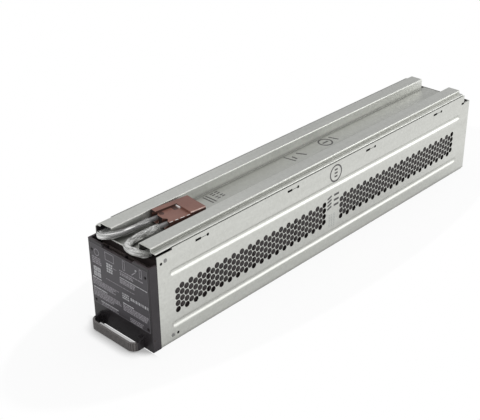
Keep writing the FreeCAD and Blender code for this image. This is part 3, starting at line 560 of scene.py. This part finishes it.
# ------------------------------------------------------------------ steel tray
SHEET = 0.8
HALF_W, TRAY_L, SIDE_TOP = layout(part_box("tray")[1])
EDGE_TOP = SIDE_TOP + 0.3         # the outline alone stands this much closer under the ledge
COVER_TAIL, CHANNEL_TAIL = layout(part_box("top_cover")[1]).y, 7.0
COVER_L = COVER_TAIL - CHANNEL_TAIL
REAR_DROP = 10.7
REAR_TOP = SIDE_TOP - REAR_DROP
FOLD_R = 1.3                      # outside of the folds along the floor
FRONT_RELIEF_L, FRONT_RELIEF_H = 21.0, 1.8
REAR_FLANGE, REAR_NOTCH = 13.0, 3.5
BEAD_HEIGHTS, BEAD_DEPTH, BEAD_MOUTH, BEAD_FLOOR = (21.2, 84.9), 1.6, 10.2, 1.4
BEAD_STEEPER = 0.3                # share by which a bead's upper slope is the shorter one
BEAD_STRAIGHT = 0.35              # share of a straight slope in its rounded one
BEAD_START, BEAD_END_GAP = 15.5, 20.0
BEAD_FROM, BEAD_TO = BEAD_START + BEAD_MOUTH / 2, TRAY_L - BEAD_END_GAP - BEAD_MOUTH / 2
VENT_D, VENT_COLUMNS, VENT_ROWS, VENT_PITCH_Y, VENT_PITCH_Z = 7.1, 38, 4, 6.43, 7.75
VENT_FIELDS, VENT_MIDDLE = (144.8, 415.1), 50.2
HOOK_FIRST, HOOK_PITCH, HOOKS, HOOK_BELOW_TOP = 57.7, 143.6, 4, 5.4
HOOK_SLOT_L, HOOK_SLOT_H, DIMPLE_D, DIMPLE_STEP, SLIT_H = 8.0, 2.8, 3.6, 13.9, 0.6
DIMPLE_STEPS, BEAD_END_STEPS, FOLD_STEPS, BEAD_LOOPS = 16, 10, 6, 8
ONE_POINT, DIGITS = 1e-4, 4       # points of a side closer than this, or equal so far, are one
TAB_SLOT_L, TAB_SLOT_H, TAB_SLOT_FROM_END = 6.0, 3.0, 16.5
RIVET_HOLE_D, PILOT_D = 3.1, 3.4
RIVETS = ((11.4, SIDE_TOP - 10.1), (17.0, 8.5))
PILOTS = ((5.5, SIDE_TOP - 11.7), (24.1, 8.2))


def circle(y, z, d, sides=24):
    return [(y + d / 2 * math.cos(w), z + d / 2 * math.sin(w))
            for w in (2 * math.pi * (k + 0.5) / sides for k in range(sides))]


def rectangle(y, z, length, height):
    return [(y + a * length / 2, z + b * height / 2)
            for a, b in ((-1, -1), (1, -1), (1, 1), (-1, 1))]


def hook_opening(y, z):
    """A slot, the slit beside it and the round hole that ends the slit, as one outline."""
    reach = math.asin(SLIT_H / DIMPLE_D)
    arc = [(y + DIMPLE_STEP - DIMPLE_D / 2 * math.cos(w), z - DIMPLE_D / 2 * math.sin(w))
           for w in (reach + (2 * math.pi - 2 * reach) * k / DIMPLE_STEPS
                     for k in range(DIMPLE_STEPS + 1))]
    left, right, h = y - HOOK_SLOT_L / 2, y + HOOK_SLOT_L / 2, HOOK_SLOT_H / 2
    return [(left, z - h), (right, z - h), (right, z - SLIT_H / 2)] + arc + [
        (right, z + SLIT_H / 2), (right, z + h), (left, z + h)]


def stadium(half, z):
    """Outline of a bead at the given half height, with round ends."""
    turns = [math.pi * (k / BEAD_END_STEPS - 0.5) for k in range(BEAD_END_STEPS + 1)]
    return ([(BEAD_TO + half * math.cos(w), z + half * math.sin(w)) for w in turns] +
            [(BEAD_FROM - half * math.cos(w), z - half * math.sin(w)) for w in turns])


def bead_depth(y, z):
    """How far a point of the side is pressed in, 0 outside the beads."""
    along = y - min(max(y, BEAD_FROM), BEAD_TO)
    away, above = min((math.hypot(along, z - middle), z - middle) for middle in BEAD_HEIGHTS)
    cut = BEAD_STEEPER * max(above, 0) / max(away, 0.001)
    t = (BEAD_MOUTH / 2 - away) / (BEAD_MOUTH / 2 - BEAD_FLOOR / 2)
    t = min(max((t - cut) / (1 - cut), 0), 1)
    rounded = (1 - math.cos(math.pi * t)) / 2
    return BEAD_DEPTH * (BEAD_STRAIGHT * t + (1 - BEAD_STRAIGHT) * rounded)


def vent_holes():
    """Middles of the vent holes: staggered columns in two fields."""
    for middle in VENT_FIELDS:
        for column in range(VENT_COLUMNS):
            y = middle + (column - (VENT_COLUMNS - 1) / 2) * VENT_PITCH_Y
            lift = (column % 2 - 0.5) * VENT_PITCH_Z / 2
            for row in range(VENT_ROWS):
                yield y, VENT_MIDDLE + lift + (row - (VENT_ROWS - 1) / 2) * VENT_PITCH_Z


def within(y, z, loop):
    """Whether a point lies inside a closed outline."""
    hit = False
    for (ya, za), (yb, zb) in zip(loop, loop[1:] + loop[:1]):
        if (za > z) != (zb > z) and y < ya + (z - za) / (zb - za) * (yb - ya):
            hit = not hit
    return hit


def side_outline():
    return [(0, FOLD_R), (TRAY_L, FOLD_R), (TRAY_L, REAR_TOP), (COVER_L, REAR_TOP),
            (COVER_L, EDGE_TOP), (FRONT_RELIEF_L, EDGE_TOP),
            (FRONT_RELIEF_L, SIDE_TOP - FRONT_RELIEF_H), (0, SIDE_TOP - FRONT_RELIEF_H)]


def side_openings(vented):
    holes = [circle(y, z, RIVET_HOLE_D) for y, z in RIVETS]
    holes += [circle(y, z, PILOT_D) for y, z in PILOTS]
    holes += [hook_opening(HOOK_FIRST + k * HOOK_PITCH, SIDE_TOP - HOOK_BELOW_TOP)
              for k in range(HOOKS)]
    holes.append(rectangle(TRAY_L - TAB_SLOT_FROM_END, REAR_TOP, TAB_SLOT_L, TAB_SLOT_H))
    if vented:
        holes += [circle(y, z, VENT_D) for y, z in vent_holes()]
    return holes


def side_wall(sign, vented):
    """Vertices, faces and the holes' cut edges of one pierced and beaded side, as a closed sheet.
    Loops over the beads' slopes guide the triangles there."""
    outline, holes = side_outline(), side_openings(vented)
    guides = [stadium(BEAD_FLOOR / 2 + (BEAD_MOUTH - BEAD_FLOOR) / 2 * k / (BEAD_LOOPS - 2), z)
              for z in BEAD_HEIGHTS for k in range(BEAD_LOOPS)]
    flat, edges = [], []
    for loop in [outline] + holes + guides:
        n = len(loop)
        edges += [(len(flat) + i, len(flat) + (i + 1) % n) for i in range(n)]
        flat += loop
    points, _, triangles, *_ = delaunay_2d_cdt([Vector(p) for p in flat], edges, [], 1,
                                               ONE_POINT)
    middles = [sum((points[i] for i in t), Vector((0, 0))) / 3 for t in triangles]
    centres = np.array([[sum(c) / len(h) for c in zip(*h)] for h in holes])
    reaches = np.array([max(math.dist(c, p) for p in h) for c, h in zip(centres, holes)])
    kept = []
    for triangle, m in zip(triangles, middles):
        near = np.nonzero(np.hypot(*(centres - (m.x, m.y)).T) < reaches)[0]
        if within(m.x, m.y, outline) and not any(within(m.x, m.y, holes[i]) for i in near):
            kept.append(tuple(triangle))
    depth = [bead_depth(p.x, p.y) for p in points]
    n = len(points)
    border = {(round(y, DIGITS), round(z, DIGITS)) for y, z in outline}
    vertices = [at(sign * (HALF_W - d), p.x, p.y) for p, d in zip(points, depth)]
    vertices += [at(sign * (HALF_W - SHEET - d), p.x, p.y) for p, d in zip(points, depth)]
    faces = [t if sign > 0 else t[::-1] for t in kept]
    faces += [tuple(n + i for i in (t[::-1] if sign > 0 else t)) for t in kept]
    rims, cut = [], []

    def on_border(a, b):
        return all((round(points[i].x, DIGITS), round(points[i].y, DIGITS)) in border
                   for i in (a, b))

    used = {(a, b) for t in kept for a, b in zip(t, t[1:] + t[:1])}
    for a, b in used:
        if (b, a) not in used:
            rim = (b, a, n + a, n + b)
            (rims if on_border(a, b) else cut).append(rim if sign > 0 else rim[::-1])
    return vertices, faces + rims, cut


def folded(path, bend, lift):
    """A folded strip of the sheet, path being its section's middle line and bend the radius there.
    lift holds two functions that turn a point of the section into a point of the frame, one for
    each end of the strip."""
    points = [Vector(p) for p in path]
    inner, outer = [], []

    def put(place, across):
        inner.append(place - across * (SHEET / 2))
        outer.append(place + across * (SHEET / 2))

    u = (points[1] - points[0]).normalized()
    put(points[0], Vector((-u.y, u.x)))
    for before, corner, after in zip(points, points[1:], points[2:]):
        u, w = (corner - before).normalized(), (after - corner).normalized()
        turn = math.atan2(u.x * w.y - u.y * w.x, u.dot(w))
        cut = bend * math.tan(abs(turn) / 2)
        sign = 1 if turn > 0 else -1
        centre = corner - u * cut + Vector((-u.y, u.x)) * (sign * bend)
        for k in range(FOLD_STEPS + 1):
            spin = Matrix.Rotation(turn * k / FOLD_STEPS, 2)
            across = spin @ Vector((-u.y, u.x))
            put(centre - across * (sign * bend), across)
    u = (points[-1] - points[-2]).normalized()
    put(points[-1], Vector((-u.y, u.x)))
    ring = outer + inner[::-1]
    start, end = lift
    vertices = [start(p) for p in ring] + [end(p) for p in ring]
    n, half = len(ring), len(outer)
    faces = [(i, (i + 1) % n, n + (i + 1) % n, n + i) for i in range(n)]
    for i in range(half - 1):
        quad = (i, n - 1 - i, n - 2 - i, i + 1)
        faces += [quad, tuple(n + v for v in quad[::-1])]
    return vertices, faces


def tray_shell():
    """The whole tray: two sides, the floor with its folds, the fold up to the rear wall, and the
    rear wall with its flanges."""
    m, bend = SHEET / 2, FOLD_R - SHEET / 2
    x, y, x_in = HALF_W - m, TRAY_L - m, HALF_W - SHEET - m
    floor_end = TRAY_L - REAR_NOTCH
    narrow = HALF_W - SHEET - REAR_NOTCH
    pieces = [side_wall(1, True), side_wall(-1, False)]
    pieces.append(folded([(-x, FOLD_R), (-x, m), (x, m), (x, FOLD_R)], bend,
                         (lambda p: at(p.x, 0, p.y), lambda p: at(p.x, floor_end, p.y))))
    pieces.append(folded([(floor_end, m), (y, m), (y, REAR_NOTCH)], bend,
                         (lambda p: at(narrow, p.x, p.y), lambda p: at(-narrow, p.x, p.y))))
    pieces.append(folded([(-x_in, TRAY_L - REAR_FLANGE), (-x_in, y), (x_in, y),
                          (x_in, TRAY_L - REAR_FLANGE)], bend,
                         (lambda p: at(p.x, p.y, REAR_NOTCH), lambda p: at(p.x, p.y, REAR_TOP))))
    vertices, faces, cuts = [], [], []
    for v, f, *rims in pieces:
        faces += [tuple(len(vertices) + i for i in face) for face in f]
        cuts += [tuple(len(vertices) + i for i in face) for rim in rims for face in rim]
        vertices += v
    shell = mesh_object("tray_shell", vertices, faces + cuts, STEEL, sharp=32)
    # Painted shade: the holes' cut edges get the dark edge material.
    shell.data.materials.append(CUT_EDGE_SHADE)
    for face in shell.data.polygons[len(faces):]:
        face.material_index = 1
    flat_normals(shell)
    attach(shell, "root")
    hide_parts("tray")


tray_shell()


# ------------------------------------------------------------------ print
class Print:
    """Thin slabs of ink on a flat face. place turns (u, v) of the face and a height over it into
    a point."""
    LIFT, THICK = 0.01, 0.04

    def __init__(self, place, seed):
        self.place, self.rng = place, random.Random(seed)
        self.vertices, self.faces = [], []

    def patch(self, corners):
        n, k = len(self.vertices), len(corners)
        self.vertices += [self.place(u, v, self.LIFT) for u, v in corners]
        self.vertices += [self.place(u, v, self.LIFT + self.THICK) for u, v in corners]
        self.faces += [tuple(range(n + k - 1, n - 1, -1)), tuple(range(n + k, n + 2 * k))]
        self.faces += [(n + i, n + (i + 1) % k, n + k + (i + 1) % k, n + k + i) for i in range(k)]

    def bar(self, u0, u1, v0, v1):
        self.patch([(u0, v0), (u1, v0), (u1, v1), (u0, v1)])

    def text(self, u0, u1, top, bottom, height=1.3, gap=0.9, ragged=0.25, word=(1.4, 5.0),
             space=0.7):
        """Rows of short bars, where a label has its text: bars as long as word allows, rows that
        end early by up to the ragged share."""
        v, slack = top, 0.01
        while v - height >= bottom - slack:
            u, stop = u0, u1 - self.rng.uniform(0, ragged) * (u1 - u0)
            while u < stop:
                length = min(self.rng.uniform(*word), stop - u)
                self.bar(u, u + length, v - height, v)
                u += length + space
            v -= height + gap

    def outline(self, u0, u1, v0, v1, line):
        self.bar(u0, u1, v0, v0 + line)
        self.bar(u0, u1, v1 - line, v1)
        self.bar(u0, u0 + line, v0 + line, v1 - line)
        self.bar(u1 - line, u1, v0 + line, v1 - line)

    def ring(self, u, v, radius, line, sides=40):
        for k in range(sides):
            a, b = (2 * math.pi * i / sides for i in (k, k + 1))
            corners = ((radius - line, a), (radius - line, b), (radius, b), (radius, a))
            self.patch([(u + r * math.cos(w), v + r * math.sin(w)) for r, w in corners])

    def slope(self, u0, v0, u1, v1, line):
        """A slanting bar from one point to another."""
        du, dv = u1 - u0, v1 - v0
        n = line / 2 / math.hypot(du, dv)
        self.patch([(u0 + dv * n, v0 - du * n), (u1 + dv * n, v1 - du * n),
                    (u1 - dv * n, v1 + du * n), (u0 - dv * n, v0 + du * n)])

    def finish(self, name, material):
        obj = mesh_object(name, self.vertices, self.faces, material, smooth=False)
        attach(obj, "root")


def label_print():
    """Generic print on the front: rows of bars for text, plain boxes, rings, and a pale painted
    highlight along the label's edge.
    """
    face_y = layout(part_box("front_label")[0]).y

    def place(u, v, height):
        return at(u, face_y - height, v)

    # A text is given by its left, right, top, bottom, bars' height, gap and raggedness, and where
    # needed the bars' least and greatest length and the space between them.
    fine = Print(place, 11)
    fine.ring(-34.5, 88.8, 4.2, 0.9, 24)
    fine.text(-42.5, -27, 82.6, 72.6, 1.5, 0.8)
    fine.outline(-20.9, -6.6, 85.6, 95.6, 0.8)
    fine.text(-9.4, -3.6, 80, 78.6, 1.1, 1.0, 0)
    fine.outline(7, 10.6, 84.8, 96.5, 0.7)
    fine.slope(20.8, 84.5, 29, 91.8, 1.0)
    fine.outline(32.8, 36.6, 86, 96.5, 0.7)
    fine.text(1.2, 37.6, 82.8, 81.4, 1.3, 1.0, 0)
    fine.text(2, 23, 80.2, 75.8, 1.3, 0.6, 0.1)
    fine.text(0.8, 26.4, 72, 66.6, 1.4, 0.5, 0.1)
    fine.text(-21.6, 25, 62.4, 60.4, 0.7, 1.0, 0.1)
    fine.text(-44.2, 0.6, 54.0, 46.0, 1.3, 0.6, 0.3)
    fine.text(-44.2, 0.6, 41.4, 31.6, 1.3, 0.6, 0.35)
    fine.text(3.4, 43.6, 41.4, 33.8, 1.4, 0.6, 0.2)
    fine.text(-33, -2, 27, 23.8, 1.0, 0.9, 0.2)
    fine.text(13.4, 35, 29.2, 23.8, 1.2, 0.8, 0.2)
    fine.finish("label_print", INK)

    low, high = (layout(corner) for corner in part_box("front_label"))
    inset = 0.2
    # Painted highlight along the label's edge.
    edge = Print(place, 12)
    edge.outline(low.x + inset, high.x - inset, low.z + inset, high.z - inset, 0.6)
    edge.finish("label_edge_painted_highlight", LABEL_EDGE_HIGHLIGHT)

    bold = Print(place, 5)
    for row in (58.6, 65.0):
        for u in (-41.4, -35.4):
            bold.outline(u, u + 5.2, row, row + 5.4, 1.5)
            bold.bar(u + 2, u + 3.2, row + 2, row + 3.4)
    bold.text(-19.4, -9.4, 82.7, 69.0, 2.1, 0.9, 0.05, (1.6, 3.4), 0.8)
    bold.ring(27.6, 91.8, 1.5, 1.2, 12)
    bold.text(1.0, 43.4, 74.0, 73.1, 0.9, 1.0, 0, (6, 12), 0.5)
    headings = ((-44.2, -29.4, 56.6, 55.1, 1.4), (-44.2, -22, 43.8, 42.4, 1.3),
                (3.4, 20.6, 43.8, 42.4, 1.3), (-33.7, -5.2, 29.0, 27.8, 1.1))
    for u0, u1, top, bottom, height in headings:
        bold.text(u0, u1, top, bottom, height, 1.0, 0, (3, 8), 0.5)
    bold.text(3.4, 14.8, 55.8, 47.8, 1.6, 1.0, 0.1, (1.0, 2.6), 0.9)
    bold.text(16.4, 43.8, 54.8, 50.4, 3.4, 1.0, 0, (0.7, 2.0), 1.2)
    bold.finish("label_print_bold", BRIGHT_INK)


def sheet_marks():
    """Plain stamps on the steel, as an inspector leaves them: rings, bars and hatches. Also a dark
    disc of painted shade for the pit on the front's side, and a pale strip of painted highlight
    on the front edge of the channel's floor."""
    side = Print(lambda u, v, height: at(HALF_W + height, u, v), 21)
    side.ring(283.4, 99, 11.2, 1.9)
    for v in (93.8, 98.2, 102.6):
        side.bar(281.0, 286.4, v, v + 2.2)
    for v in (54.8, 59.4, 64, 68.6):
        side.slope(269.6, v, 277.0, v + 2.4, 2.5)
    for v in (55.4, 62.2, 69):
        side.bar(281.6, 290.6, v, v + 2.8)
    side.finish("side_stamp", STAMP_INK)
    # Painted shade: a dark disc for the pit on the front's side.
    hole = Print(lambda u, v, height: at(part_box("front_bezel")[1].x / MM + height, u, v), 24)
    hole.patch(circle(-8.6, 14.4, 2.2, 16))
    hole.finish("bezel_pit_painted_shade", PIT_SHADE)
    faint = Print(side.place, 22)
    for u in (273, 277.4, 281.8):
        faint.text(u, u + 2.6, 46, 28.6, 1.0, 1.2, 0.2, (1.0, 2.0), 0.5)
    faint.finish("side_stamp_faint", FAINT_INK)
    channel = Print(lambda u, v, height: at(v, u, PLUG_MIDDLE[2] + height), 23)
    for u in (127, 131.5):
        channel.bar(u, u + 1.9, -17.5, 0)
    for u in (138, 145):
        for v in (-17, -13.4, -8.4, -4.8):
            channel.bar(u, u + 4.8, v, v + 1.8)
    channel.slope(265, -18, 268, -1, 2.0)
    channel.slope(284, -15, 290, -3, 2.6)
    channel.bar(272, 274.6, -12, -4)
    channel.ring(332, -8.5, 9.8, 2.2)
    channel.bar(327, 337, -9.8, -7.2)
    channel.slope(346, -15, 350, -2, 2.4)
    channel.finish("channel_stamp", STAMP_INK)
    # Painted highlight: a pale strip along the front edge of the channel's floor.
    lip = Print(channel.place, 25)
    lip.bar(0.1, 0.9, -20, 20)
    lip.finish("channel_lip_painted_highlight", EDGE_HIGHLIGHT)


def connector_marks():
    """Painted shade in the latch pits, a pale raised bar of painted highlight at the rear step of
    the connector's recess, and short painted highlights along the recess's edge."""
    top = PLUG_H - PLUG_STEP_H
    # Painted shade: dark patches in the latch pits.
    pits = Print(lambda u, v, height: at(*plug_point(u, v, top + height)), 31)
    pits.patch([(-8.6, -20.6), (-3.6, -21.8), (-1.2, -18.6), (-3.6, -15.6), (-8.2, -16.0)])
    pits.patch([(-8.4, -3.4), (-2.0, -4.0), (-0.8, 0.6), (-4.6, 2.2), (-8.2, 1.2)])
    pits.finish("latch_pits_painted_shade", HOUSING_SIDE_SHADE)
    # Painted highlights: short pale bars along the recess's right edge.
    glints = Print(pits.place, 33)
    for v0, v1 in ((-23.4, -19.5), (-16.2, -12.6), (-9.4, -4.2), (-1.2, 3.0)):
        glints.bar(16.0, 16.9, v0, v1)
    glints.finish("edge_glints_painted_highlight", PALE_GLINT)
    # Painted highlight: a pale raised bar at the recess's rear step.
    step_glint = Print(pits.place, 32)
    step_glint.THICK = 1.4
    step_glint.bar(-8.0, -0.8, 2.2, 3.8)
    step_glint.finish("latch_step_painted_highlight", PALE_GLINT)


label_print()
sheet_marks()
connector_marks()


# ------------------------------------------------------------------ finer edges on the CAD nodes
soften("connector_housing", 0.3, segments=3)
soften("pull_handle", 0.5, segments=3)
soften("front_bezel", 0.2, segments=2)
SHARP_FROM = math.radians(35)
for name in ("top_cover", "side_rivets"):
    NODES[name].data.shade_smooth()
    NODES[name].data.set_sharp_from_angle(angle=SHARP_FROM)


# ------------------------------------------------------------------ floor and light
FLOOR_SIZE = 6.0                  # from the middle to each side
FLOOR_WHITE = 0.88                # share of plain white in the floor that a camera sees
FADE_FROM, FADE_TO = 0.30, 0.44   # the shadow fades out between these distances from the middle
FADE_SHAPE = (3.2, 1, 1)          # with the distance across the object counted so many times
CONTACT_REACH, CONTACT_DARKEST = 0.014, 0.42
CONTACT_Y = FRONT - 0.012         # contact shade is drawn in front of this, the front's face


def floor():
    """A pale floor that keeps the object's soft shadow, with a contact shade along the front and
    the handle, and is pure white further off."""
    size = FLOOR_SIZE
    obj = mesh_object("floor", [(-size, -size, 0), (size, -size, 0), (size, size, 0),
                                (-size, size, 0)], [(0, 1, 2, 3)], None, smooth=False)
    m = Nodes("floor")
    m.set(Base_Color=(0.82, 0.82, 0.82, 1), Roughness=0.9, Specular_IOR_Level=0.1)
    light = m.add("ShaderNodeLightPath")
    eye = m.math("MAXIMUM", light.outputs["Is Camera Ray"], light.outputs["Is Transmission Ray"])
    rays = m.math("MAXIMUM", eye, light.outputs["Is Glossy Ray"])
    far = m.add("ShaderNodeVectorMath", {0: m.stretched(FADE_SHAPE)},
                operation="LENGTH").outputs["Value"]
    fade = m.span(far, 0.0, 1.0, FADE_FROM, FADE_TO)
    fade = m.math("MAXIMUM", fade, m.math("MULTIPLY", eye, FLOOR_WHITE))
    touch = m.add("ShaderNodeAmbientOcclusion", {"Distance": CONTACT_REACH},
                  samples=16).outputs["AO"]
    y = m.add("ShaderNodeSeparateXYZ", {0: m.coords}).outputs["Y"]
    before = m.math("LESS_THAN", y, CONTACT_Y)
    shade = m.span(touch, CONTACT_DARKEST, 1.0, 0.5, 0.95)
    contact = m.math("MAXIMUM", shade, m.math("SUBTRACT", 1.0, before))
    white = m.add("ShaderNodeEmission", {"Color": (1, 1, 1, 1), "Strength": contact})
    mix = m.add("ShaderNodeMixShader", {0: m.math("MULTIPLY", rays, fade), 1: m.shader.outputs[0],
                                        2: white.outputs[0]})
    m.tree.links.new(mix.outputs[0], m.tree.nodes["Material Output"].inputs["Surface"])
    obj.data.materials.append(m.material)


def world():
    """Soft light from all around, and plain white where the camera sees past the floor."""
    w = bpy.data.worlds.new("world")
    w.use_nodes = True
    scene.world = w
    tree = w.node_tree
    sky = tree.nodes["Background"]
    sky.inputs["Color"].default_value = (0.98, 0.985, 1.0, 1)
    sky.inputs["Strength"].default_value = 0.55
    white = tree.nodes.new("ShaderNodeBackground")
    white.inputs["Strength"].default_value = 1.0
    white.inputs["Color"].default_value = (1, 1, 1, 1)
    light = tree.nodes.new("ShaderNodeLightPath")
    mix = tree.nodes.new("ShaderNodeMixShader")
    tree.links.new(light.outputs["Is Camera Ray"], mix.inputs[0])
    tree.links.new(sky.outputs[0], mix.inputs[1])
    tree.links.new(white.outputs[0], mix.inputs[2])
    tree.links.new(mix.outputs[0], tree.nodes["World Output"].inputs["Surface"])


def lamp(name, place, target, size, power):
    data = bpy.data.lights.new(name, "AREA")
    data.shape = "RECTANGLE"
    data.size, data.size_y = size
    data.energy = power
    obj = bpy.data.objects.new(name, data)
    obj.location = place
    obj.rotation_euler = (Vector(target) - Vector(place)).to_track_quat("-Z", "Y").to_euler()
    scene.collection.objects.link(obj)


floor()
world()
lamp("key", (-0.05, 1.6, 1.65), (0, 0, 0.05), (1.0, 0.7), 6)
lamp("top", (0.2, 0.1, 2.2), (0, 0, 0.05), (2.0, 2.0), 15)
lamp("tall", (1.05, 1.42, 0.44), (0, 0, 0.20), (2.4, 0.86), 11)
lamp("bounce", (-0.85, 0.45, 0.75), (-0.03, -0.25, 0.12), (0.5, 0.36), 0.12)
lamp("fill", (0.9, -1.6, 1.0), (0, -0.1, 0.05), (1.2, 1.0), 6)
